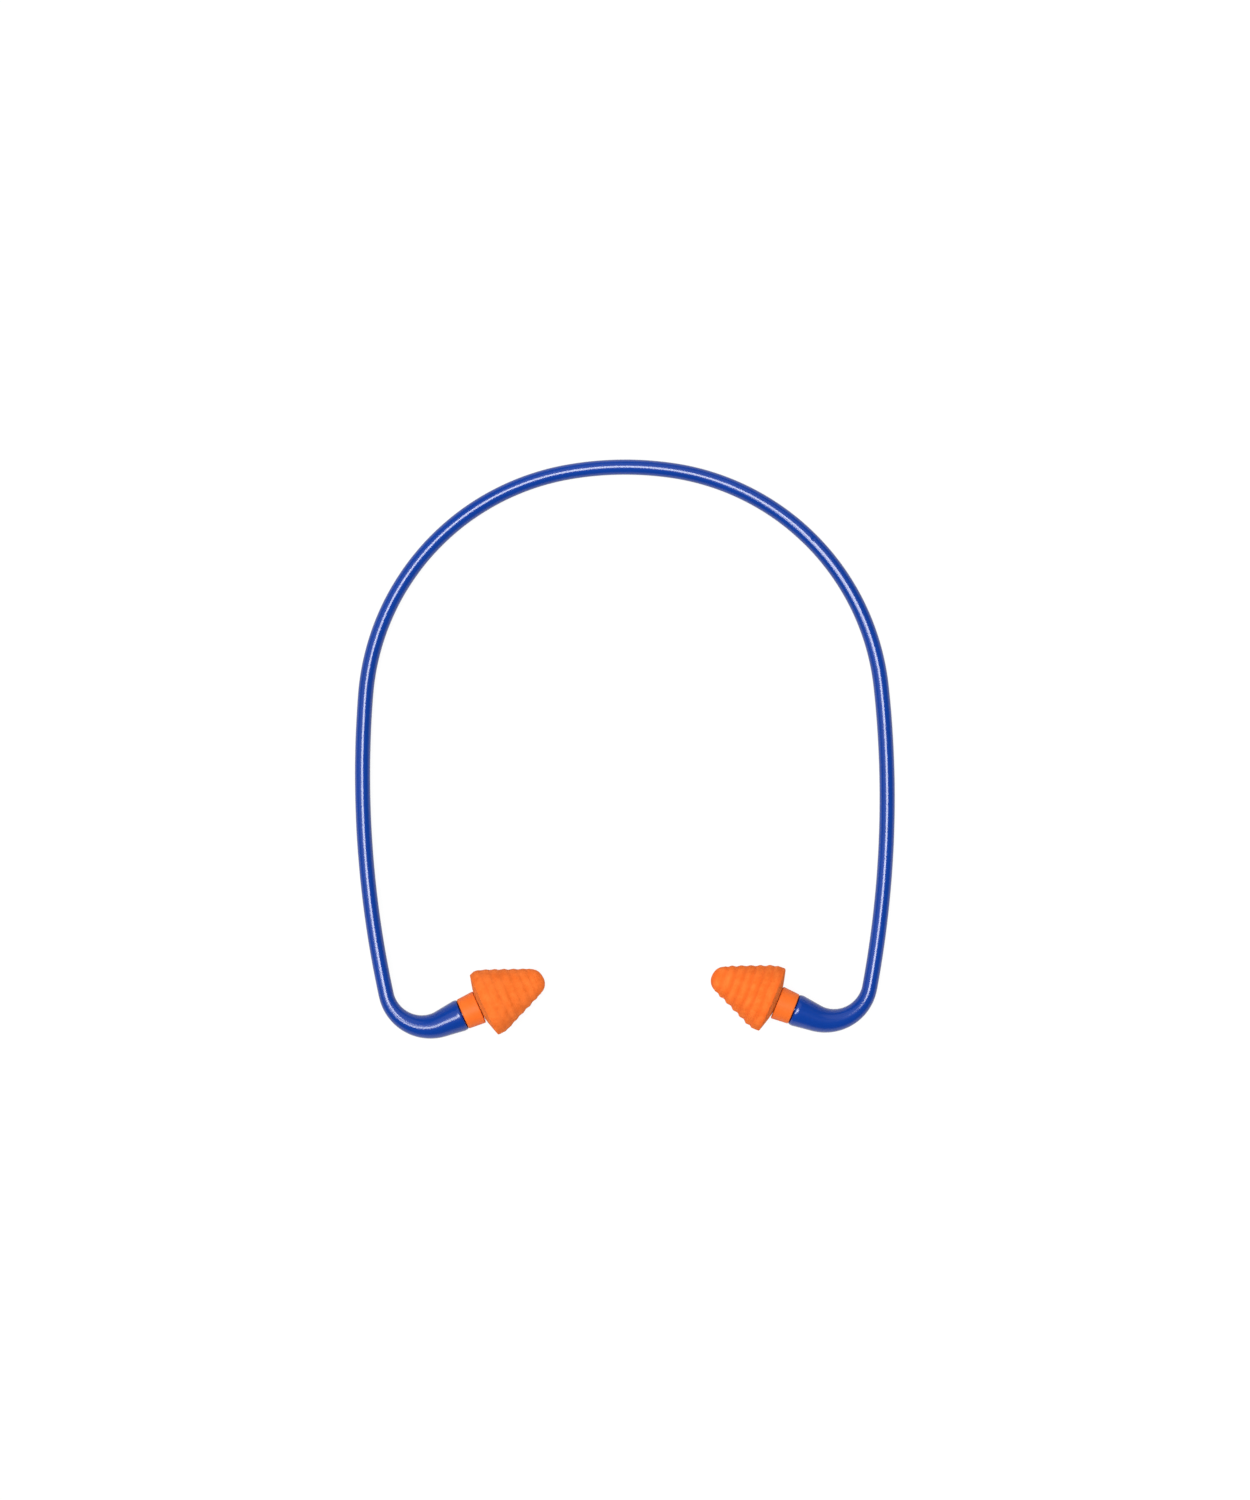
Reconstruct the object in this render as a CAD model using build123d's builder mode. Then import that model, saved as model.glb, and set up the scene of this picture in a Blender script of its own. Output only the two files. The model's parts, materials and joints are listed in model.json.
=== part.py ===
from build123d import *
import math
import os

os.makedirs("parts", exist_ok=True)

# Banded ear plugs lying flat on a table, in millimetres. The band's plane leans a little
# because the foam pods are fatter than the rod, and both rest on the table at Z = 0.
# The hooks turn up a little out of the band's plane, so that the pods point slightly upwards.
# +X is the wearer's left-to-right width, +Y runs from the pods to the crown, +Z is up.

# Band: one round rod bent in a chain of tangent arcs, from the crown's middle outwards.
rod_diameter = 3.7
crown_reach = 143.12  # height of the centreline's top above the band's local zero line
crown_radius = 82.3
crown_half_angle = 9.2
shoulder_radius = 61.4
shoulder_angle = 75.6
arm_radius = 258.7
arm_angle = 16.7
hook_radius = 10.17
hook_angle = 101.35
hook_lift = 3.0
end_straight = 5.55

# The hook swells from the rod to the thick end that carries the stem. The end is a soft brow
# that turns in from its widest place, then a small round at the face.
end_diameter = 7.68
swell_power = 1.63
hook_sections = 10
end_flare = 8.5
brow_radius = 3.0
brow_fall = 20.0
lip_round = 0.35

# Peg on the end of each arm, with a barb that keeps the stem on.
peg_diameter = 3.4
peg_length = 4.1
barb_diameter = 4.0
barb_length = 1.4

# Where the rod bends when the band is spread: a round knuckle in a cup at each shoulder.
flex_heading = 40.0
knuckle_gap = 0.1

# Stem: a collar behind the foam and a ringed spigot inside it.
collar_gap = 0.1
collar_back_diameter = 7.7
collar_front_diameter = 8.5
collar_edge_round = 0.3
collar_front = 4.6
spigot_diameter = 5.4
spigot_end = 14.3
ring_diameter = 6.0
ring_starts = (6.6, 9.0, 11.4)
ring_length = 1.2
bore_clearance = 0.05

# Foam pod: a ribbed cone with a soft nose and a domed back, all along the stem axis.
pod_rim = 5.8  # rim plane, measured from the arm's end face
pod_length = 16.4
pod_diameter = 16.5
pod_back_bulge = 1.05
pod_rim_round = 0.5
pod_straight = 1.4
cone_slope = 0.4275
cone_start_radius = 9.265  # where the cone's line crosses the rim plane
nose_radius = 3.3
rib_pitch = 2.13
rib_height = 0.1
first_rib = 4.0
socket_clearance = 0.07
socket_depth = 9.1

# Position of the band's local zero line, so that the whole part is centred on Y = 0.
zero_line_y = -72.933

rod_radius = rod_diameter / 2
end_radius = end_diameter / 2
pod_radius = pod_diameter / 2
nose_centre = pod_length - nose_radius

ARCS = (
    (crown_radius, crown_half_angle),
    (shoulder_radius, shoulder_angle),
    (arm_radius, arm_angle),
    (hook_radius, hook_angle),
)
CROWN_END = math.radians(crown_half_angle) * crown_radius
SHOULDER_END = CROWN_END + math.radians(shoulder_angle) * shoulder_radius
HOOK_START = SHOULDER_END + math.radians(arm_angle) * arm_radius
HOOK_END = HOOK_START + math.radians(hook_angle) * hook_radius
BAND_END = HOOK_END + end_straight
BROW_LENGTH = brow_radius * (
    math.sin(math.radians(end_flare)) + math.sin(math.radians(brow_fall))
) + lip_round * (1 - math.sin(math.radians(brow_fall)))
SWELL_END = BAND_END - BROW_LENGTH
FLEX = CROWN_END + math.radians(flex_heading - crown_half_angle) * shoulder_radius


def centreline(distance):
    """Point and downward heading, in radians, on the right half of the centreline."""
    x, y, heading = 0.0, crown_reach, 0.0
    left_over = distance
    for radius, angle in ARCS:
        turn = min(math.radians(angle), left_over / radius)
        x += radius * (math.sin(heading + turn) - math.sin(heading))
        y += radius * (math.cos(heading + turn) - math.cos(heading))
        heading += turn
        left_over -= turn * radius
    x += math.cos(heading) * left_over
    y -= math.sin(heading) * left_over
    return x, y, heading


def lifted(x, y):
    """An in-plane step beyond the arm's end, turned out of the band's plane about the arm."""
    _, _, heading = centreline(HOOK_START)
    lift = math.radians(hook_lift)
    onward = x * math.cos(heading) - y * math.sin(heading)
    inward = -x * math.sin(heading) - y * math.cos(heading)
    level = inward * math.cos(lift)
    return Vector(
        onward * math.cos(heading) - level * math.sin(heading),
        -onward * math.sin(heading) - level * math.cos(heading),
        inward * math.sin(lift),
    )


def local_frame(distance):
    """Place, direction of travel and downward direction on the right half, in the band's frame."""
    x, y, heading = centreline(distance)
    if distance <= HOOK_START:
        return Vector(x, y, 0), Vector(math.cos(heading), -math.sin(heading), 0), Vector(0, 0, -1)
    start_x, start_y, _ = centreline(HOOK_START)
    place = Vector(start_x, start_y, 0) + lifted(x - start_x, y - start_y)
    ahead = lifted(math.cos(heading), -math.sin(heading))
    outward = lifted(math.sin(heading), math.cos(heading))
    return place, ahead, outward.cross(ahead)


# The part rests on the crown's rod at one end and on both pods' rims at the other.
end_place, end_ahead, _ = local_frame(BAND_END)
rim_place = end_place + end_ahead * (pod_rim + pod_rim_round)
rim_drop = pod_radius * math.sqrt(1 - end_ahead.Z**2)
lean = math.asin((rim_drop - rod_radius - rim_place.Z) / (crown_reach - rim_place.Y))
rest = Plane(
    origin=(0, zero_line_y, rod_radius + crown_reach * math.sin(lean)),
    x_dir=(1, 0, 0),
    z_dir=(0, math.sin(lean), math.cos(lean)),
)


def mirrored(side, vector):
    """From the right half to the side asked for; -1 is the left and +1 the right."""
    return Vector(side * vector.X, vector.Y, vector.Z)


def at(side, distance):
    """A point on the centreline."""
    return rest.from_local_coords(mirrored(side, local_frame(distance)[0]))


def along(side, distance):
    """The centreline's direction of travel, away from the crown."""
    return rest.from_local_coords(mirrored(side, local_frame(distance)[1])) - rest.origin


def downward(side, distance):
    """Square to the centreline, and downwards."""
    return rest.from_local_coords(mirrored(side, local_frame(distance)[2])) - rest.origin


def across(side, distance):
    """The plane that cuts the rod square."""
    return Plane(
        origin=at(side, distance),
        x_dir=downward(side, distance),
        z_dir=along(side, distance),
    )


def end_plane(side):
    """Local X along the stem axis from the arm's end face, local Y radial."""
    return Plane(
        origin=at(side, BAND_END),
        x_dir=along(side, BAND_END),
        z_dir=downward(side, BAND_END),
    )


def flex_plane(side):
    """Centred on the shoulder's bending axis, which is this plane's normal."""
    return Plane(origin=at(side, FLEX), x_dir=along(side, FLEX), z_dir=rest.z_dir)


def stem_axis(side):
    return Axis(at(side, BAND_END), along(side, BAND_END))


def arc_along(side, start, end):
    ThreePointArc(at(side, start), at(side, (start + end) / 2), at(side, end))


def swell_radius(distance):
    """The hook's radius, growing ever faster towards the brow."""
    part = max(0.0, (distance - HOOK_START) / (SWELL_END - HOOK_START))
    return rod_radius + (end_radius - rod_radius) * part**swell_power


def flank_radius(a):
    """The pod's outside at a distance a from its rim: a cone with shallow rings on it."""
    cone = cone_start_radius - cone_slope * a
    soft = 0.2
    plain = -soft * math.log(math.exp(-cone / soft) + math.exp(-pod_radius / soft))
    fade_in = min(1.0, max(0.0, (a - pod_straight) / 1.5))
    fade_out = min(1.0, max(0.0, (nose_centre + 1.3 - a) / 1.5))
    wave = math.cos(2 * math.pi * (a - first_rib) / rib_pitch)
    return plain + rib_height * wave * fade_in * fade_out


def band_arm(side):
    """One arm: knuckle at the shoulder, constant rod, swelling hook, end lip and barbed peg."""
    with BuildLine() as knuckle_path:
        arc_along(side, FLEX - rod_diameter, FLEX)
    with BuildSketch(across(side, FLEX - rod_diameter)) as knuckle:
        Circle(rod_radius)
    sweep(knuckle.sketch, path=knuckle_path.line)
    with BuildSketch(flex_plane(side)) as knuckle_round:
        Circle(rod_radius)
    extrude(knuckle_round.sketch, amount=rod_diameter, both=True, mode=Mode.INTERSECT)
    with BuildLine() as rod_path:
        arc_along(side, FLEX, SHOULDER_END)
        arc_along(side, SHOULDER_END, HOOK_START)
    with BuildSketch(across(side, FLEX)) as rod:
        Circle(rod_radius)
    sweep(rod.sketch, path=rod_path.line)
    step = (HOOK_END - HOOK_START) / (hook_sections - 1)
    stops = [HOOK_START + step * n for n in range(hook_sections)]
    stops += [(HOOK_END + SWELL_END) / 2, SWELL_END]
    rings = []
    for distance in stops:
        with BuildSketch(across(side, distance)) as ring:
            Circle(swell_radius(distance))
        rings.append(ring.sketch)
    loft(rings)
    flare = math.radians(end_flare)
    fall = math.radians(brow_fall)
    brow_x = -BROW_LENGTH + brow_radius * math.sin(flare)
    brow_y = end_radius - brow_radius * math.cos(flare)
    brow = [
        (brow_x + brow_radius * math.sin(turn), brow_y + brow_radius * math.cos(turn))
        for turn in (-flare, (fall - flare) / 2, fall)
    ]
    lip_x = -lip_round
    lip_y = brow[2][1] - lip_round * math.cos(fall)
    lip_turn = (fall + math.radians(90)) / 2
    lip_middle = (
        lip_x + lip_round * math.sin(lip_turn),
        lip_y + lip_round * math.cos(lip_turn),
    )
    barb = peg_length - barb_length
    with BuildSketch(end_plane(side)) as peg:
        with BuildLine():
            Line((-BROW_LENGTH, 0), brow[0])
            ThreePointArc(*brow)
            ThreePointArc(brow[2], lip_middle, (0, lip_y))
            Polyline(
                (0, lip_y),
                (0, peg_diameter / 2),
                (barb, peg_diameter / 2),
                (barb, barb_diameter / 2),
                (barb + 0.3, barb_diameter / 2),
                (peg_length, peg_diameter / 2 - 0.4),
                (peg_length, 0),
                (-BROW_LENGTH, 0),
            )
        make_face()
    revolve(peg.sketch, axis=stem_axis(side))


def stem(side):
    """Collar, ringed spigot and the stepped bore that turns on the arm's peg."""
    bore = peg_diameter / 2 + bore_clearance
    groove = barb_diameter / 2 + bore_clearance
    barb = peg_length - barb_length
    with BuildSketch(end_plane(side)) as sleeve:
        with BuildLine():
            Polyline(
                (collar_gap, bore),
                (collar_gap, collar_back_diameter / 2),
                (collar_front, collar_front_diameter / 2),
                (collar_front, spigot_diameter / 2),
                (spigot_end - 0.8, spigot_diameter / 2),
                (spigot_end, spigot_diameter / 2 - 0.8),
                (spigot_end, 0),
                (peg_length + 0.15, 0),
                (peg_length + 0.15, groove),
                (barb - 0.1, groove),
                (barb - 0.1, bore),
                close=True,
            )
        make_face()
    revolve(sleeve.sketch, axis=stem_axis(side))
    for start in ring_starts:
        with BuildSketch(end_plane(side)) as ring:
            with BuildLine():
                Polyline(
                    (start, spigot_diameter / 2 - 0.3),
                    (start, ring_diameter / 2),
                    (start + 0.2, ring_diameter / 2),
                    (start + ring_length, spigot_diameter / 2 - 0.05),
                    (start + ring_length, spigot_diameter / 2 - 0.3),
                    close=True,
                )
            make_face()
        revolve(ring.sketch, axis=stem_axis(side))
    rims = edges().filter_by(GeomType.CIRCLE).sort_by(SortBy.RADIUS)
    fillet(rims[-2:], radius=collar_edge_round)


def foam_pod(side):
    """Ribbed foam cone with a blind socket for the spigot."""
    socket = ring_diameter / 2 + socket_clearance
    tangent = math.atan(cone_slope)
    flank_end = nose_centre + nose_radius * math.sin(tangent)
    steps = int(round((flank_end - pod_rim_round) / (rib_pitch / 5)))
    stations = [
        pod_rim_round + (flank_end - pod_rim_round) * n / steps for n in range(steps + 1)
    ]
    flank = [(pod_rim + a, flank_radius(a)) for a in stations]
    flank[-1] = (pod_rim + flank_end, nose_radius * math.cos(tangent))
    back_edge = (pod_rim, pod_radius - pod_rim_round)
    back_inner = (pod_rim - pod_back_bulge, collar_front_diameter / 2 - 0.4)
    back_middle = (
        pod_rim - pod_back_bulge * 0.62,
        (back_edge[1] + back_inner[1]) / 2,
    )
    with BuildSketch(end_plane(side)) as half:
        with BuildLine():
            Line((pod_rim - pod_back_bulge, socket), back_inner)
            ThreePointArc(back_inner, back_middle, back_edge)
            ThreePointArc(
                back_edge,
                (
                    pod_rim + pod_rim_round * (1 - math.cos(math.radians(45))),
                    pod_radius - pod_rim_round * (1 - math.sin(math.radians(45))),
                ),
                flank[0],
            )
            Spline(*flank)
            ThreePointArc(
                flank[-1],
                (
                    pod_rim + nose_centre + nose_radius * math.cos(math.radians(35)),
                    nose_radius * math.sin(math.radians(35)),
                ),
                (pod_rim + pod_length, 0),
            )
            Polyline(
                (pod_rim + pod_length, 0),
                (pod_rim + socket_depth, 0),
                (pod_rim + socket_depth, socket - 1.0),
                (pod_rim + socket_depth - 1.0, socket),
                (pod_rim - pod_back_bulge, socket),
            )
        make_face()
    revolve(half.sketch, axis=stem_axis(side))


# Middle of the band, cupped at both ends to take the arms' knuckles.
with BuildPart() as band_crown:
    with BuildLine() as crown_path:
        ThreePointArc(at(-1, FLEX), at(-1, (FLEX + CROWN_END) / 2), at(-1, CROWN_END))
        ThreePointArc(at(-1, CROWN_END), at(1, 0), at(1, CROWN_END))
        ThreePointArc(at(1, CROWN_END), at(1, (FLEX + CROWN_END) / 2), at(1, FLEX))
    with BuildSketch(Plane(origin=at(-1, FLEX), x_dir=rest.z_dir, z_dir=-along(-1, FLEX))):
        Circle(rod_radius)
    sweep(path=crown_path.line)
    with BuildSketch(flex_plane(-1), flex_plane(1)):
        Circle(rod_radius + knuckle_gap)
    extrude(amount=rod_diameter, both=True, mode=Mode.SUBTRACT)
band_crown.part.label = "band_crown"
export_step(band_crown.part, "parts/band_crown.step")

with BuildPart() as left_band_arm:
    band_arm(-1)
left_band_arm.part.label = "left_band_arm"
export_step(left_band_arm.part, "parts/left_band_arm.step")

with BuildPart() as right_band_arm:
    band_arm(1)
right_band_arm.part.label = "right_band_arm"
export_step(right_band_arm.part, "parts/right_band_arm.step")

with BuildPart() as left_stem:
    stem(-1)
left_stem.part.label = "left_stem"
export_step(left_stem.part, "parts/left_stem.step")

with BuildPart() as right_stem:
    stem(1)
right_stem.part.label = "right_stem"
export_step(right_stem.part, "parts/right_stem.step")

with BuildPart() as left_foam_pod:
    foam_pod(-1)
left_foam_pod.part.label = "left_foam_pod"
export_step(left_foam_pod.part, "parts/left_foam_pod.step")

with BuildPart() as right_foam_pod:
    foam_pod(1)
right_foam_pod.part.label = "right_foam_pod"
export_step(right_foam_pod.part, "parts/right_foam_pod.step")
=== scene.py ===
import json
import math

import bmesh
import bpy
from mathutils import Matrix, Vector, noise


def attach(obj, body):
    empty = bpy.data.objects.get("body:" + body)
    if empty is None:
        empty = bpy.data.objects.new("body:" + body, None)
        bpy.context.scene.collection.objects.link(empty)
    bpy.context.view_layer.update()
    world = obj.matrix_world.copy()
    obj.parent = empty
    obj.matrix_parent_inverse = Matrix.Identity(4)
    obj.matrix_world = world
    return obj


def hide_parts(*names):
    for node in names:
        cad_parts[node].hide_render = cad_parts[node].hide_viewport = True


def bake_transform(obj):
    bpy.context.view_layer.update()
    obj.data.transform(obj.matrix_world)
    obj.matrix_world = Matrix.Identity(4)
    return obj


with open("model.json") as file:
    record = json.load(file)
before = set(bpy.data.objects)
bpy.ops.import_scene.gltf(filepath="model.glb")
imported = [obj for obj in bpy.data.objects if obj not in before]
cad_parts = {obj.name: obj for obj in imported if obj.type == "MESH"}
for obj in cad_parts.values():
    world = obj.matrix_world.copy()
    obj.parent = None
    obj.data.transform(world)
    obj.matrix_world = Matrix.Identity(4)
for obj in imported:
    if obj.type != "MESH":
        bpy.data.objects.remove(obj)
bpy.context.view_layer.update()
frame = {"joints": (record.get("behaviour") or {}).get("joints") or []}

MM = 0.001
JOINTS = {j["name"]: j for j in frame["joints"]}
SIDES = ((-1, "left"), (1, "right"))

# ---------------------------------------------------------------- sizes
# Lengths are metres. The arcs' angles are degrees, and the other angles are radians.
ROD_RADIUS = 1.89 * MM
CROWN_REACH = 143.12 * MM
# radius and angle of each arc of the right half, from the crown's middle to the hook
ARCS = (
    (82.3 * MM, 9.2),
    (61.4 * MM, 75.6),
    (258.7 * MM, 16.7),
    (10.17 * MM, 101.35),
)
HOOK_LIFT = math.radians(3.0)
END_STRAIGHT = 5.55 * MM
END_RADIUS = 3.97 * MM
SWELL_POWER = 1.48
END_FLARE = math.radians(8.5)
BROW_RADIUS = 2.4 * MM
BROW_FALL = math.radians(16)
LIP_ROUND = 0.28 * MM
BROW_STEPS = 7
LIP_STEPS = 6

PEG_RADIUS = 1.7 * MM
BARB_RADIUS = 2.0 * MM
PEG_LENGTH = 4.1 * MM
BARB_LENGTH = 1.4 * MM
BARB_LAND = 0.3 * MM
PEG_TIP_TAPER = 0.4 * MM

COLLAR_START = 0.1 * MM
COLLAR_END = 4.6 * MM
COLLAR_BACK = 3.92 * MM
COLLAR_FRONT = 4.25 * MM
BORE = 1.75 * MM
GROOVE = 2.05 * MM
TIP_SLACK = 0.15 * MM
BARB_SLACK = 0.1 * MM
COLLAR_ROUND = 0.3 * MM
COLLAR_FILLET = 0.15 * MM
SPIGOT_RADIUS = 2.7 * MM
SPIGOT_END = 14.3 * MM
RING_RADIUS = 3.0 * MM
RING_STARTS = (6.6 * MM, 9.0 * MM, 11.4 * MM)
RING_LENGTH = 1.2 * MM
RING_ROUND = 0.1 * MM
SPIGOT_ROUND = 0.8 * MM

POD_RIM = 5.8 * MM
POD_LENGTH = 16.4 * MM
POD_RADIUS = 8.25 * MM
BACK_BULGE = 1.05 * MM
BACK_CURVE = 1.12
BACK_HOLE = COLLAR_FRONT - 0.4 * MM
RIM_ROUND = 0.3 * MM
STRAIGHT = 1.4 * MM
CONE_SLOPE = 0.4275
CONE_START = 9.265 * MM
NOSE_RADIUS = 3.3 * MM
RIB_PITCH = 2.13 * MM
FIRST_RIB = 4.0 * MM
RIB_HEIGHT = {-1: 0.085 * MM, 1: 0.155 * MM}
RIB_WAVER = 0.16 * MM
SOCKET = 3.07 * MM
SOCKET_DEPTH = 9.1 * MM
SOCKET_ROUND = 1.0 * MM
SOCKET_LIP = 0.25 * MM
RIM_SKEW = math.tan(math.radians(1.8))
SKEW_REACH = 9 * MM
UPPER_BULGE = {-1: 0.45 * MM, 1: 0.32 * MM}
BULGE_START = {-1: 1.5 * MM, 1: 0.4 * MM}
FOAM_WAVE = 0.10 * MM
FOAM_GRAIN = 0.03 * MM
SKIN_SHRINK = 0.03 * MM
# painted shade in each pod's foam grooves, stronger on the right pod, whose ribs the lamps light
# flat
PAINTED_GROOVE_SHADE = {-1: 0.10, 1: 0.55}

ARC_LENGTHS = [radius * math.radians(angle) for radius, angle in ARCS]
SHOULDER_END = ARC_LENGTHS[0] + ARC_LENGTHS[1]
HOOK_START = SHOULDER_END + ARC_LENGTHS[2]
BAND_END = HOOK_START + ARC_LENGTHS[3] + END_STRAIGHT
BROW_LENGTH = BROW_RADIUS * (math.sin(END_FLARE) + math.sin(BROW_FALL))
SWELL_END = BAND_END - BROW_LENGTH - LIP_ROUND * (1 - math.sin(BROW_FALL))


# ---------------------------------------------------------------- the band's plane
def centreline(distance):
    """x, y and downward heading, in the band's plane, along the right half."""
    x, y, heading = 0.0, CROWN_REACH, 0.0
    rest = distance
    for radius, angle in ARCS:
        turn = min(math.radians(angle), rest / radius)
        x += radius * (math.sin(heading + turn) - math.sin(heading))
        y += radius * (math.cos(heading + turn) - math.cos(heading))
        heading += turn
        rest -= turn * radius
    return x + math.cos(heading) * rest, y - math.sin(heading) * rest, heading


def lifted(x, y):
    """An in-plane step beyond the arm's end, turned out of the band's plane about the arm."""
    heading = centreline(HOOK_START)[2]
    onward = x * math.cos(heading) - y * math.sin(heading)
    inward = -x * math.sin(heading) - y * math.cos(heading)
    level = inward * math.cos(HOOK_LIFT)
    return Vector(
        (
            onward * math.cos(heading) - level * math.sin(heading),
            -onward * math.sin(heading) - level * math.cos(heading),
            inward * math.sin(HOOK_LIFT),
        )
    )


def local_frame(distance):
    """Place, outward and upward directions on the right half, in the band's own axes."""
    x, y, heading = centreline(distance)
    if distance <= HOOK_START:
        outward = Vector((math.sin(heading), math.cos(heading), 0))
        return Vector((x, y, 0)), outward, Vector((0, 0, 1))
    start_x, start_y, _ = centreline(HOOK_START)
    place = Vector((start_x, start_y, 0)) + lifted(x - start_x, y - start_y)
    ahead = lifted(math.cos(heading), -math.sin(heading))
    outward = lifted(math.sin(heading), math.cos(heading))
    return place, outward, ahead.cross(outward)


NORMAL = Vector(JOINTS["right_arm_flex"]["axis"])
ACROSS = Vector((1, 0, 0))
UPWARD = NORMAL.cross(ACROSS)


def turned(side, vector):
    """A direction on the right half, taken to the side asked for and to the table's axes."""
    return ACROSS * (side * vector.x) + UPWARD * vector.y + NORMAL * vector.z


ORIGIN = Vector(JOINTS["right_stem_spin"]["pos_m"]) - turned(1, local_frame(BAND_END)[0])


def spaced(low, high, step):
    """Even steps from low up to, but not including, high."""
    count = max(1, round((high - low) / step))
    return [low + (high - low) * n / count for n in range(count)]


def smooth(t):
    t = min(1.0, max(0.0, t))
    return t * t * (3 - 2 * t)


# ---------------------------------------------------------------- mesh helpers
SHARP_ANGLE = math.radians(38)
CORNER_STEPS = 6
CORNER_GUARD = 0.4
ON_AXIS = 1e-9


def make_object(name, points, faces):
    mesh = bpy.data.meshes.new(name)
    mesh.from_pydata([tuple(p) for p in points], [], faces)
    mesh.validate()
    mesh.shade_smooth()
    mesh.set_sharp_from_angle(angle=SHARP_ANGLE)
    obj = bpy.data.objects.new(name, mesh)
    bpy.context.scene.collection.objects.link(obj)
    return obj


def ring_faces(rings, segments):
    """Quads between rings of points that follow one another."""
    faces = []
    for i in range(rings - 1):
        a = i * segments
        b = a + segments
        for k in range(segments):
            n = (k + 1) % segments
            faces.append((a + k, a + n, b + n, b + k))
    return faces


def fan(ring_start, segments, tip, outward):
    """Triangles from one ring to a single point."""
    faces = []
    for k in range(segments):
        n = (k + 1) % segments
        edge = (ring_start + k, ring_start + n)
        faces.append((edge[0], edge[1], tip) if outward else (edge[1], edge[0], tip))
    return faces


def rounded(corners):
    """A profile of (a, r) points from corners (a, r, radius), with each radius drawn as an arc.

    A guard point beyond each end of an arc keeps the shading of the straights even.
    """
    profile = []
    for i, (a, r, radius) in enumerate(corners):
        here = Vector((a, r))
        if radius == 0 or i in (0, len(corners) - 1):
            profile.append(here)
            continue
        before = (Vector(corners[i - 1][:2]) - here).normalized()
        after = (Vector(corners[i + 1][:2]) - here).normalized()
        half = before.angle(after) / 2
        reach = radius / math.tan(half)
        centre = here + (before + after).normalized() * (radius / math.sin(half))
        start = here + before * reach
        end = here + after * reach
        profile.append(start + before * radius * CORNER_GUARD)
        for n in range(CORNER_STEPS + 1):
            mixed = (start - centre).lerp(end - centre, n / CORNER_STEPS)
            profile.append(centre + mixed.normalized() * radius)
        profile.append(end + after * radius * CORNER_GUARD)
    return [(p.x, p.y) for p in profile]


def stem_frame(side):
    """The stem axis: its start on the arm's end face, its direction and two cross directions.

    The second cross direction is the band's normal. It leans about 3 degrees off square to
    the lifted axis, so every ring drawn with the two is sheared by that much.
    """
    joint = JOINTS[("left" if side < 0 else "right") + "_stem_spin"]
    axis = Vector(joint["axis"]).normalized()
    return Vector(joint["pos_m"]), axis, axis.cross(NORMAL).normalized(), NORMAL


def lathe(name, side, profile, segments, shape=None):
    """A closed solid of rings round a stem's axis, from a profile that starts and ends on it.

    shape(a, r, turn) may move each point.
    """
    start, axis, one, two = stem_frame(side)
    points = []
    rings = [p for p in profile if p[1] > ON_AXIS]
    for a, r in rings:
        for k in range(segments):
            turn = 2 * math.pi * k / segments
            here_a, here_r = shape(a, r, turn) if shape else (a, r)
            ray = one * math.cos(turn) + two * math.sin(turn)
            points.append(start + axis * here_a + ray * here_r)
    faces = ring_faces(len(rings), segments)
    points.append(start + axis * profile[0][0])
    faces += fan(0, segments, len(points) - 1, False)
    points.append(start + axis * profile[-1][0])
    faces += fan((len(rings) - 1) * segments, segments, len(points) - 1, True)
    obj = make_object(name, points, faces)
    face_outward(obj)
    return obj


def face_outward(obj):
    """Turns every face of a closed mesh to the outside."""
    bm = bmesh.new()
    bm.from_mesh(obj.data)
    bmesh.ops.recalc_face_normals(bm, faces=bm.faces)
    bm.to_mesh(obj.data)
    bm.free()


# ---------------------------------------------------------------- the band
RING_SEGMENTS = 72
ROD_STEP = 0.7 * MM
HOOK_STEP = 0.45 * MM
SEAM_HEIGHT = 0.025 * MM
SEAM_HALF_WIDTH = 0.11 * MM
SEAM_END = SWELL_END + 0.4 * MM
SEAM_SIDES = (-3.4, -1.7, 1.7, 3.4)
ROD_WAVE = 0.012 * MM
ROD_WAVES_PER_METRE = 160

# a small nick at the right shoulder
NICK_PLACE = 53.0 * MM
NICK_REACH = 1.2 * MM
NICK_STEP = 0.15 * MM
NICK_LENGTH = 0.35 * MM
NICK_TURN = 1.25
NICK_SPREAD = 0.30
NICK_DEPTH = 0.09 * MM


def ring_turns():
    """Angles round the rod, closer together beside the two mould seams."""
    turns = [2 * math.pi * k / RING_SEGMENTS for k in range(RING_SEGMENTS)]
    for seam in (0.0, math.pi):
        turns += [seam + math.radians(d) for d in SEAM_SIDES]
    return sorted(t % (2 * math.pi) for t in turns)


def swell_radius(distance):
    part = max(0.0, (distance - HOOK_START) / (SWELL_END - HOOK_START))
    return ROD_RADIUS + (END_RADIUS - ROD_RADIUS) * part**SWELL_POWER


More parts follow.
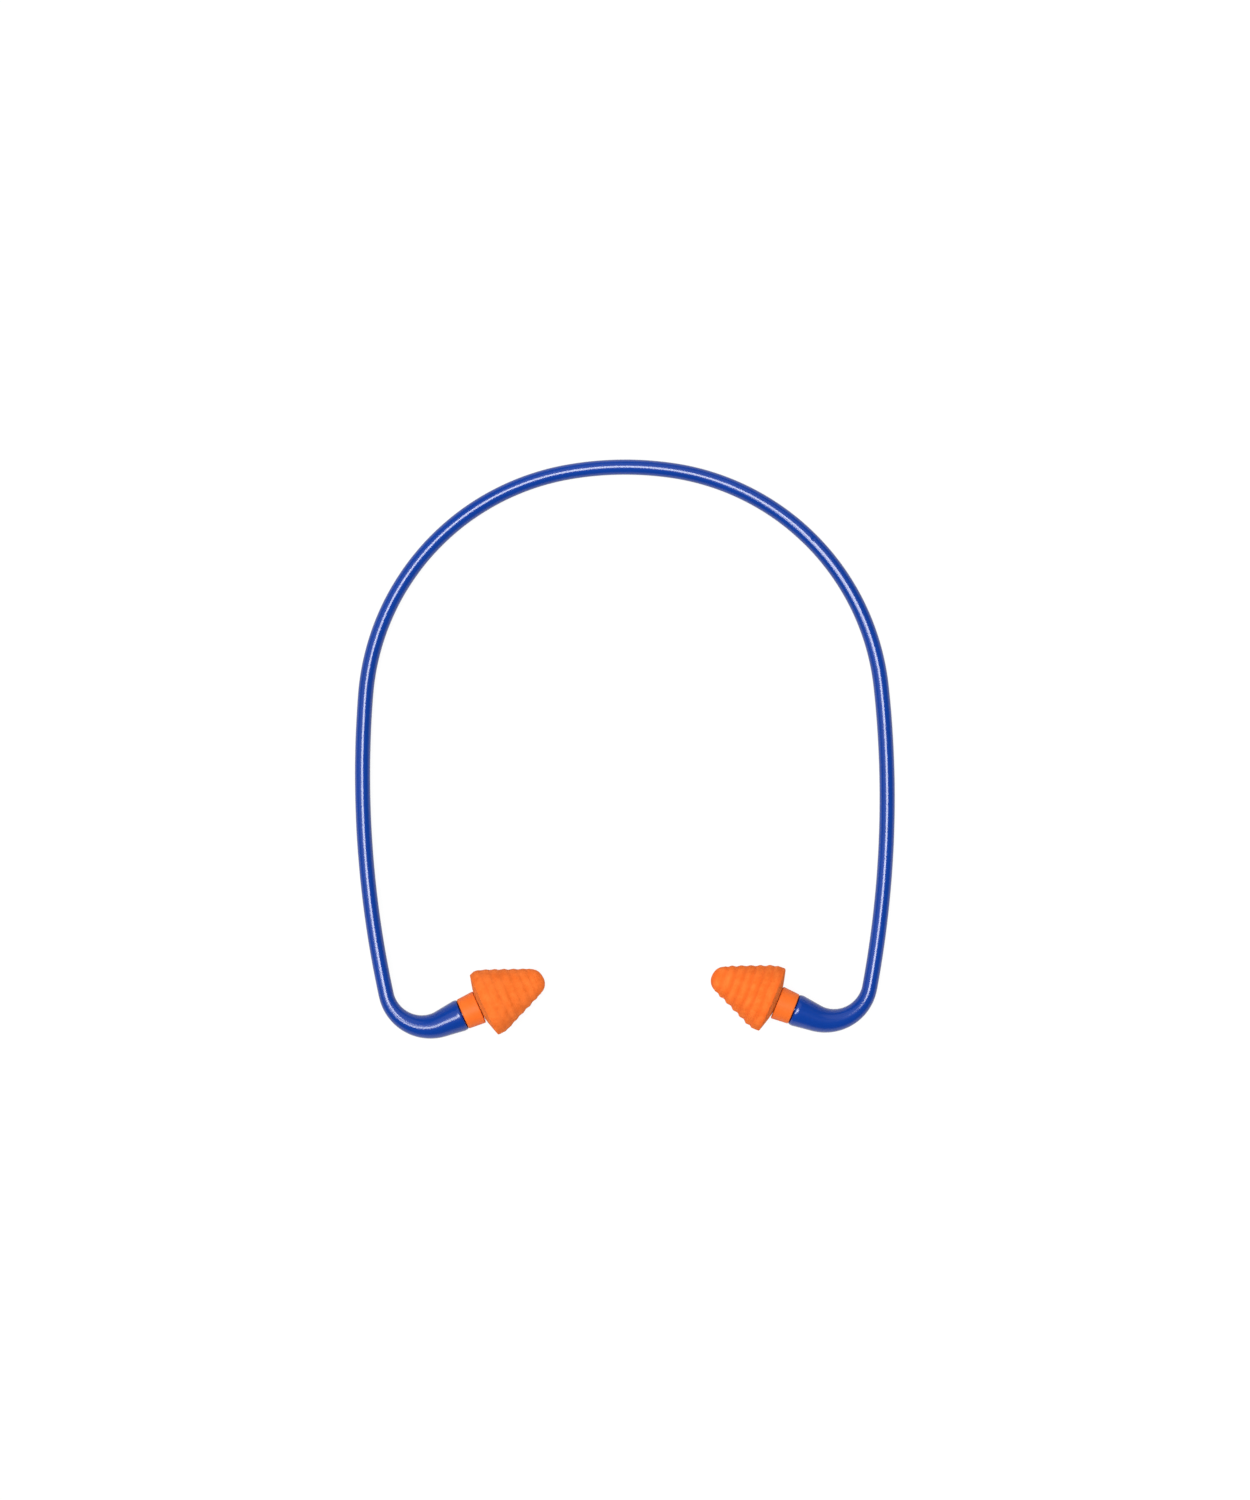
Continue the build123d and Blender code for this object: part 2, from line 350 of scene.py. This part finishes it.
def band_stations():
    """Distance along the band and radius there, out to the tip of the peg."""
    stops = spaced(0, NICK_PLACE - NICK_REACH, ROD_STEP)
    stops += spaced(NICK_PLACE - NICK_REACH, NICK_PLACE + NICK_REACH, NICK_STEP)
    stops += spaced(NICK_PLACE + NICK_REACH, HOOK_START, ROD_STEP)
    stops += spaced(HOOK_START, SWELL_END, HOOK_STEP)
    stations = [(s, swell_radius(s)) for s in stops]
    brow_s = SWELL_END + BROW_RADIUS * math.sin(END_FLARE)
    brow_r = END_RADIUS - BROW_RADIUS * math.cos(END_FLARE)
    for n in range(BROW_STEPS + 1):
        turn = -END_FLARE + (BROW_FALL + END_FLARE) * n / BROW_STEPS
        stations.append(
            (brow_s + BROW_RADIUS * math.sin(turn), brow_r + BROW_RADIUS * math.cos(turn))
        )
    lip_r = stations[-1][1] - LIP_ROUND * math.cos(BROW_FALL)
    for n in range(1, LIP_STEPS + 1):
        turn = BROW_FALL + (math.pi / 2 - BROW_FALL) * n / LIP_STEPS
        stations.append(
            (BAND_END - LIP_ROUND * (1 - math.sin(turn)), lip_r + LIP_ROUND * math.cos(turn))
        )
    barb = BAND_END + PEG_LENGTH - BARB_LENGTH
    stations += [
        (BAND_END, PEG_RADIUS),
        (barb, PEG_RADIUS),
        (barb, BARB_RADIUS),
        (barb + BARB_LAND, BARB_RADIUS),
        (BAND_END + PEG_LENGTH, PEG_RADIUS - PEG_TIP_TAPER),
    ]
    return stations


def band_half(side, name):
    """One half of the rod, from the middle of the crown to the tip of its peg."""
    turns = ring_turns()
    stations = band_stations()
    points = []
    for s, radius in stations:
        place, outward, upward = local_frame(s)
        on_rod = s < SEAM_END
        for turn in turns:
            r = radius
            if on_rod:
                from_seam = min(turn, abs(turn - math.pi), 2 * math.pi - turn) * radius
                r += SEAM_HEIGHT * math.exp(-((from_seam / SEAM_HALF_WIDTH) ** 2))
            if side > 0:
                along = (s - NICK_PLACE) / NICK_LENGTH
                around = (turn - NICK_TURN) / NICK_SPREAD
                r -= NICK_DEPTH * math.exp(-along * along - around * around)
            ray = turned(side, outward * math.cos(turn) + upward * math.sin(turn))
            point = ORIGIN + turned(side, place) + ray * r
            if on_rod:
                point += ray * (noise.noise(point * ROD_WAVES_PER_METRE) * ROD_WAVE)
            points.append(point)
    count = len(turns)
    faces = ring_faces(len(stations), count)
    points.append(ORIGIN + turned(side, local_frame(0)[0]))
    faces += fan(0, count, len(points) - 1, False)
    points.append(ORIGIN + turned(side, local_frame(stations[-1][0])[0]))
    faces += fan((len(stations) - 1) * count, count, len(points) - 1, True)
    obj = make_object(name, points, faces)
    face_outward(obj)
    return obj


# ---------------------------------------------------------------- stems and pods
STEM_SEGMENTS = 96
POD_SEGMENTS = 160
BACK_STEPS = 16
RIM_STEPS = 6
NOSE_STEPS = 22
FLANK_STEP = 0.15 * MM


def stem_profile():
    """From the blind end of the bore, out over the collar and the rings to the spigot's tip."""
    corners = [
        (COLLAR_START, BORE, 0),
        (COLLAR_START, COLLAR_BACK, COLLAR_ROUND),
        (COLLAR_END, COLLAR_FRONT, COLLAR_ROUND),
        (COLLAR_END, SPIGOT_RADIUS, COLLAR_FILLET),
    ]
    for start in RING_STARTS:
        corners += [
            (start, SPIGOT_RADIUS, 0),
            (start, RING_RADIUS, RING_ROUND),
            (start + RING_LENGTH, SPIGOT_RADIUS, 0),
        ]
    corners += [
        (SPIGOT_END, SPIGOT_RADIUS, SPIGOT_ROUND),
        (SPIGOT_END, 0, 0),
    ]
    blind_end = PEG_LENGTH + TIP_SLACK
    catch = PEG_LENGTH - BARB_LENGTH - BARB_SLACK
    bore = [
        (blind_end, 0),
        (blind_end, GROOVE),
        (catch, GROOVE),
        (catch, BORE),
    ]
    return bore + rounded(corners)


def make_stem(side, name):
    return lathe(name, side, stem_profile(), STEM_SEGMENTS)


def flank_radius(a):
    """The smooth cone, before its ribs."""
    soft = 0.2 * MM
    cone = CONE_START - CONE_SLOPE * a
    return -soft * math.log(math.exp(-cone / soft) + math.exp(-POD_RADIUS / soft))


def pod_profile():
    """From the socket's blind end, out over the domed back, the flank and the nose."""
    nose_centre = POD_LENGTH - NOSE_RADIUS
    tangent = math.atan(CONE_SLOPE)
    flank_end = nose_centre + NOSE_RADIUS * math.sin(tangent)
    back = POD_RIM - BACK_BULGE
    line = [(POD_RIM + SOCKET_DEPTH, 0.0)]
    line += rounded(
        [
            (POD_RIM + SOCKET_DEPTH, 0.1 * MM, 0),
            (POD_RIM + SOCKET_DEPTH, SOCKET, SOCKET_ROUND),
            (back, SOCKET, SOCKET_LIP),
            (back, BACK_HOLE, 0),
        ]
    )
    for n in range(1, BACK_STEPS + 1):
        part = n / BACK_STEPS
        r = BACK_HOLE + (POD_RADIUS - RIM_ROUND - BACK_HOLE) * part
        line.append((back + BACK_BULGE * part**BACK_CURVE, r))
    for n in range(1, RIM_STEPS + 1):
        turn = math.radians(90 * n / RIM_STEPS)
        line.append(
            (
                POD_RIM + RIM_ROUND * (1 - math.cos(turn)),
                POD_RADIUS - RIM_ROUND * (1 - math.sin(turn)),
            )
        )
    for a in spaced(RIM_ROUND, flank_end, FLANK_STEP)[1:]:
        line.append((POD_RIM + a, flank_radius(a)))
    for n in range(NOSE_STEPS):
        turn = tangent + (math.radians(90) - tangent) * n / NOSE_STEPS
        line.append(
            (
                POD_RIM + nose_centre + NOSE_RADIUS * math.sin(turn),
                NOSE_RADIUS * math.cos(turn),
            )
        )
    line.append((POD_RIM + POD_LENGTH, 0.0))
    return line


def foam_shape(side):
    """Ribs that waver a little, and the shallow unevenness of moulded foam."""
    seed = Vector((side * 3.1, 0.7, 1.9))

    def shape(a, r, turn):
        if r < SOCKET + 0.4 * MM and a < POD_RIM + SOCKET_DEPTH + 0.1 * MM:
            return a, r
        along = a - POD_RIM
        skew = RIM_SKEW * side * r * math.cos(turn) * (1 - smooth(along / SKEW_REACH))
        place = Vector((math.cos(turn), math.sin(turn), along / (5 * MM))) + seed
        fade = smooth((along - STRAIGHT) / (1.5 * MM))
        fade *= smooth((POD_LENGTH - NOSE_RADIUS + 1.6 * MM - along) / (2.0 * MM))
        waver = RIB_WAVER * noise.noise(place * 0.8)
        depth = RIB_HEIGHT[side] * (1 + 0.45 * noise.noise(place * 1.3 + seed))
        phase = 2 * math.pi * (along - FIRST_RIB + waver) / RIB_PITCH
        wave = math.cos(phase) + 0.14 * math.sin(2 * phase)
        uneven = FOAM_WAVE * noise.noise(place * 1.1) + FOAM_GRAIN * noise.noise(place * 5)
        upper = max(0.0, side * math.cos(turn)) * smooth(along / BULGE_START[side])
        grow = fade * depth * wave
        grow += (uneven + UPPER_BULGE[side] * upper) * smooth(r / (2 * MM))
        return a - skew, r + grow - SKIN_SHRINK

    return shape


def make_pod(side, name):
    return lathe(name, side, pod_profile(), POD_SEGMENTS, foam_shape(side))


# ---------------------------------------------------------------- materials
def new_material(name):
    material = bpy.data.materials.new(name)
    material.use_nodes = True
    tree = material.node_tree
    shader = next(n for n in tree.nodes if n.type == "BSDF_PRINCIPLED")
    place = tree.nodes.new("ShaderNodeTexCoord").outputs["Object"]
    return material, tree, shader, place


def noise_node(tree, place, scale, detail=3.0, roughness=0.5):
    node = tree.nodes.new("ShaderNodeTexNoise")
    node.inputs["Scale"].default_value = scale
    node.inputs["Detail"].default_value = detail
    node.inputs["Roughness"].default_value = roughness
    tree.links.new(place, node.inputs["Vector"])
    return node.outputs["Fac"]


def ramp_node(tree, value, stops):
    node = tree.nodes.new("ShaderNodeValToRGB")
    ramp = node.color_ramp
    while len(ramp.elements) < len(stops):
        ramp.elements.new(0.5)
    for element, (at, colour) in zip(ramp.elements, stops):
        element.position = at
        element.color = (*colour, 1)
    tree.links.new(value, node.inputs["Fac"])
    return node.outputs["Color"]


def range_node(tree, value, low, high, from_low=0.3, from_high=0.7, clamp=True):
    node = tree.nodes.new("ShaderNodeMapRange")
    node.clamp = clamp
    node.inputs["From Min"].default_value = from_low
    node.inputs["From Max"].default_value = from_high
    node.inputs["To Min"].default_value = low
    node.inputs["To Max"].default_value = high
    tree.links.new(value, node.inputs["Value"])
    return node.outputs["Result"]


def mix_node(tree, factor, one, two):
    """One colour at factor 0 and the other at 1. Each of the three may be a value or a socket."""
    node = tree.nodes.new("ShaderNodeMix")
    node.data_type = "RGBA"
    for socket, value in ((node.inputs[0], factor), (node.inputs[6], one), (node.inputs[7], two)):
        if hasattr(value, "node"):
            tree.links.new(value, socket)
        else:
            socket.default_value = value if isinstance(value, float) else (*value, 1)
    return node.outputs[2]


def bump_node(tree, height, strength, distance, normal=None):
    node = tree.nodes.new("ShaderNodeBump")
    node.inputs["Strength"].default_value = strength
    node.inputs["Distance"].default_value = distance
    tree.links.new(height, node.inputs["Height"])
    if normal:
        tree.links.new(normal, node.inputs["Normal"])
    return node.outputs["Normal"]


def blue_plastic():
    material, tree, shader, place = new_material("blue_plastic")
    cloud = noise_node(tree, place, 90, 3)
    colour = ramp_node(tree, cloud, ((0.3, (0.0006, 0.0275, 0.204)), (0.7, (0.0012, 0.0315, 0.227))))
    tree.links.new(colour, shader.inputs["Base Color"])
    scuffs = noise_node(tree, place, 300, 2)
    tree.links.new(range_node(tree, scuffs, 0.20, 0.22), shader.inputs["Roughness"])
    peel = noise_node(tree, place, 420, 2)
    tree.links.new(bump_node(tree, peel, 0.04, 0.00003), shader.inputs["Normal"])
    shader.inputs["IOR"].default_value = 1.47
    return material


def stem_plastic():
    material, tree, shader, place = new_material("stem_plastic")
    cloud = noise_node(tree, place, 260, 3)
    colour = ramp_node(tree, cloud, ((0.3, (0.61, 0.110, 0.0105)), (0.7, (0.67, 0.127, 0.015))))
    tree.links.new(colour, shader.inputs["Base Color"])
    grain = noise_node(tree, place, 2600, 4, 0.6)
    tree.links.new(range_node(tree, grain, 0.42, 0.58), shader.inputs["Roughness"])
    tree.links.new(bump_node(tree, grain, 0.35, 0.00003), shader.inputs["Normal"])
    shader.inputs["IOR"].default_value = 1.25
    return material


def foam_skin(side):
    """Mottled foam with painted shade in its grooves, which are counted along the pod's axis."""
    material, tree, shader, place = new_material(("left" if side < 0 else "right") + "_foam")
    start, axis, _, _ = stem_frame(side)
    along = tree.nodes.new("ShaderNodeVectorMath")
    along.operation = "DOT_PRODUCT"
    tree.links.new(place, along.inputs[0])
    along.inputs[1].default_value = axis
    first = start.dot(axis) + POD_RIM + FIRST_RIB
    waver = range_node(tree, noise_node(tree, place, 150, 1), -0.25 * MM, 0.25 * MM)
    shifted = tree.nodes.new("ShaderNodeMath")
    tree.links.new(along.outputs["Value"], shifted.inputs[0])
    tree.links.new(waver, shifted.inputs[1])
    phase = range_node(
        tree, shifted.outputs[0], 0.0, 2 * math.pi, first, first + RIB_PITCH, clamp=False
    )
    wave = tree.nodes.new("ShaderNodeMath")
    wave.operation = "COSINE"
    tree.links.new(phase, wave.inputs[0])
    cloud = noise_node(tree, place, 430, 5, 0.65)
    body = ramp_node(tree, cloud, ((0.32, (0.59, 0.104, 0.013)), (0.68, (0.70, 0.148, 0.026))))
    # painted shade: the grooves are mixed toward a deeper orange
    painted_groove_shade = range_node(tree, wave.outputs[0], PAINTED_GROOVE_SHADE[side], 0.0, -1.0, 0.6)
    groove_shaded_body = mix_node(tree, painted_groove_shade, body, (0.58, 0.084, 0.010))
    specks = noise_node(tree, place, 3300, 3, 0.7)
    speckle = range_node(tree, specks, 0.0, 1.0, 0.62, 0.76)
    colour = mix_node(tree, speckle, groove_shaded_body, (0.54, 0.110, 0.034))
    tree.links.new(colour, shader.inputs["Base Color"])
    cells = tree.nodes.new("ShaderNodeTexVoronoi")
    cells.inputs["Scale"].default_value = 4200
    tree.links.new(place, cells.inputs["Vector"])
    pores = bump_node(tree, cells.outputs["Distance"], 0.4, 0.00008)
    tree.links.new(bump_node(tree, specks, 0.5, 0.00006, pores), shader.inputs["Normal"])
    tree.links.new(range_node(tree, cloud, 0.82, 0.95), shader.inputs["Roughness"])
    shader.inputs["IOR"].default_value = 1.12
    shader.inputs["Sheen Weight"].default_value = 0.12
    shader.inputs["Sheen Tint"].default_value = (1.0, 0.45, 0.15, 1)
    shader.inputs["Sheen Roughness"].default_value = 0.5
    return material


FLOOR_SEEN = (0.06, 0.06, 0.06)
FLOOR_GLOW = 0.93
FLOOR_BOUNCE = 0.45


def floor_material():
    """Pale to the eye, so that the outlines stay crisp, and softly glowing under the object."""
    material, tree, shader, place = new_material("pale_floor")
    cloud = noise_node(tree, place, 6, 2)
    colour = ramp_node(tree, cloud, ((0.3, (0.54, 0.54, 0.54)), (0.7, (0.56, 0.56, 0.56))))
    rays = tree.nodes.new("ShaderNodeLightPath")
    seen = rays.outputs["Is Camera Ray"]
    pale = mix_node(tree, seen, colour, FLOOR_SEEN)
    tree.links.new(pale, shader.inputs["Base Color"])
    shader.inputs["Emission Color"].default_value = (1, 1, 1, 1)
    glow = range_node(tree, seen, 0.0, FLOOR_GLOW, 0.0, 1.0)
    bounce = range_node(tree, rays.outputs["Is Diffuse Ray"], 0.0, FLOOR_BOUNCE, 0.0, 1.0)
    total = tree.nodes.new("ShaderNodeMath")
    tree.links.new(glow, total.inputs[0])
    tree.links.new(bounce, total.inputs[1])
    tree.links.new(total.outputs[0], shader.inputs["Emission Strength"])
    shader.inputs["Roughness"].default_value = 0.9
    shader.inputs["IOR"].default_value = 1.2
    return material


# ---------------------------------------------------------------- build
# the place where the rod heads 40 degrees down, and the band's points this reach each way of it
FLEX_HEADING = math.radians(40)
FLEX_REACH = 30 * MM
FLEX_SEARCH_STEP = 0.05 * MM
flex_search = spaced(0, BAND_END, FLEX_SEARCH_STEP)
flex_stop = next(s for s in flex_search if centreline(s)[2] >= FLEX_HEADING)
band_material = blue_plastic()
stem_material = stem_plastic()
for side, word in SIDES:
    band = band_half(side, f"{word}_band_half")
    band.data.materials.append(band_material)
    start = ORIGIN + turned(side, local_frame(flex_stop - FLEX_REACH)[0])
    end = ORIGIN + turned(side, local_frame(flex_stop + FLEX_REACH)[0])
    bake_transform(band)
    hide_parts(f"{word}_band_arm", *(["band_crown"] if side > 0 else []))

    collar = make_stem(side, f"{word}_stem_sleeve")
    collar.data.materials.append(stem_material)
    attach(collar, f"{word}_stem")
    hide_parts(f"{word}_stem")

    pod = make_pod(side, f"{word}_pod_foam")
    pod.data.materials.append(foam_skin(side))
    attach(pod, f"{word}_foam_pod")
    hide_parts(f"{word}_foam_pod")

# ---------------------------------------------------------------- stage
FLOOR_HALF = 6.0
FLOOR_DROP = 0.00005
floor = make_object(
    "floor",
    [(x * FLOOR_HALF, y * FLOOR_HALF, -FLOOR_DROP) for x, y in ((-1, -1), (1, -1), (1, 1), (-1, 1))],
    [(0, 1, 2, 3)],
)
floor.data.materials.append(floor_material())

world = bpy.data.worlds.new("studio")
bpy.context.scene.world = world
world.use_nodes = True
sky = world.node_tree
backdrop = next(n for n in sky.nodes if n.type == "BACKGROUND")
direction = sky.nodes.new("ShaderNodeTexCoord").outputs["Generated"]
split = sky.nodes.new("ShaderNodeSeparateXYZ")
sky.links.new(direction, split.inputs["Vector"])
# brightness by height, as reflections see it, and the even fill on rough surfaces
SKY_SHADES = ((0.0, 0.5), (0.2, 0.11), (0.45, 0.05), (1.0, 0.05))
SKY_FILL = (0.39, 0.39, 0.39)
shade = ramp_node(sky, split.outputs["Z"], [(at, (grey, grey, grey)) for at, grey in SKY_SHADES])
rays = sky.nodes.new("ShaderNodeLightPath")
fill = mix_node(sky, rays.outputs["Is Diffuse Ray"], shade, SKY_FILL)
sky.links.new(fill, backdrop.inputs["Color"])
backdrop.inputs["Strength"].default_value = 1.0


def add_sun(name, strength, spread, toward):
    """A soft lamp that shines toward a direction, spread over an angle in degrees."""
    data = bpy.data.lights.new(name, "SUN")
    data.energy = strength
    data.angle = math.radians(spread)
    lamp = bpy.data.objects.new(name, data)
    lamp.rotation_mode = "QUATERNION"
    lamp.rotation_quaternion = Vector(toward).to_track_quat("-Z", "Y")
    bpy.context.scene.collection.objects.link(lamp)


add_sun("key", 2.85, 25, (0.06, -0.07, -1))
add_sun("left_key", 1.05, 17, (0.37, 0.18, -1))
add_sun("left_fill", 0.35, 50, (0.66, -0.15, -0.74))
add_sun("top_fill", 0.35, 50, (-0.12, -0.64, -0.76))

# the camera looks straight down; its sensor is in millimetres and its roll in degrees
SENSOR = 36
FRAME_LONG_SIDE = 375 * MM
CAMERA_HEIGHT = 1.4
FOCUS_PLANE = 4.8 * MM
AIM = (0.17 * MM, -0.80 * MM)
ROLL = -0.87
camera_data = bpy.data.cameras.new("camera")
camera_data.sensor_width = SENSOR
camera_data.lens = SENSOR * (CAMERA_HEIGHT - FOCUS_PLANE) / FRAME_LONG_SIDE
camera = bpy.data.objects.new("camera", camera_data)
camera.location = (*AIM, CAMERA_HEIGHT)
camera.rotation_euler = (0, 0, math.radians(ROLL))
bpy.context.scene.collection.objects.link(camera)
bpy.context.scene.camera = camera
bpy.context.scene.view_settings.view_transform = "Standard"
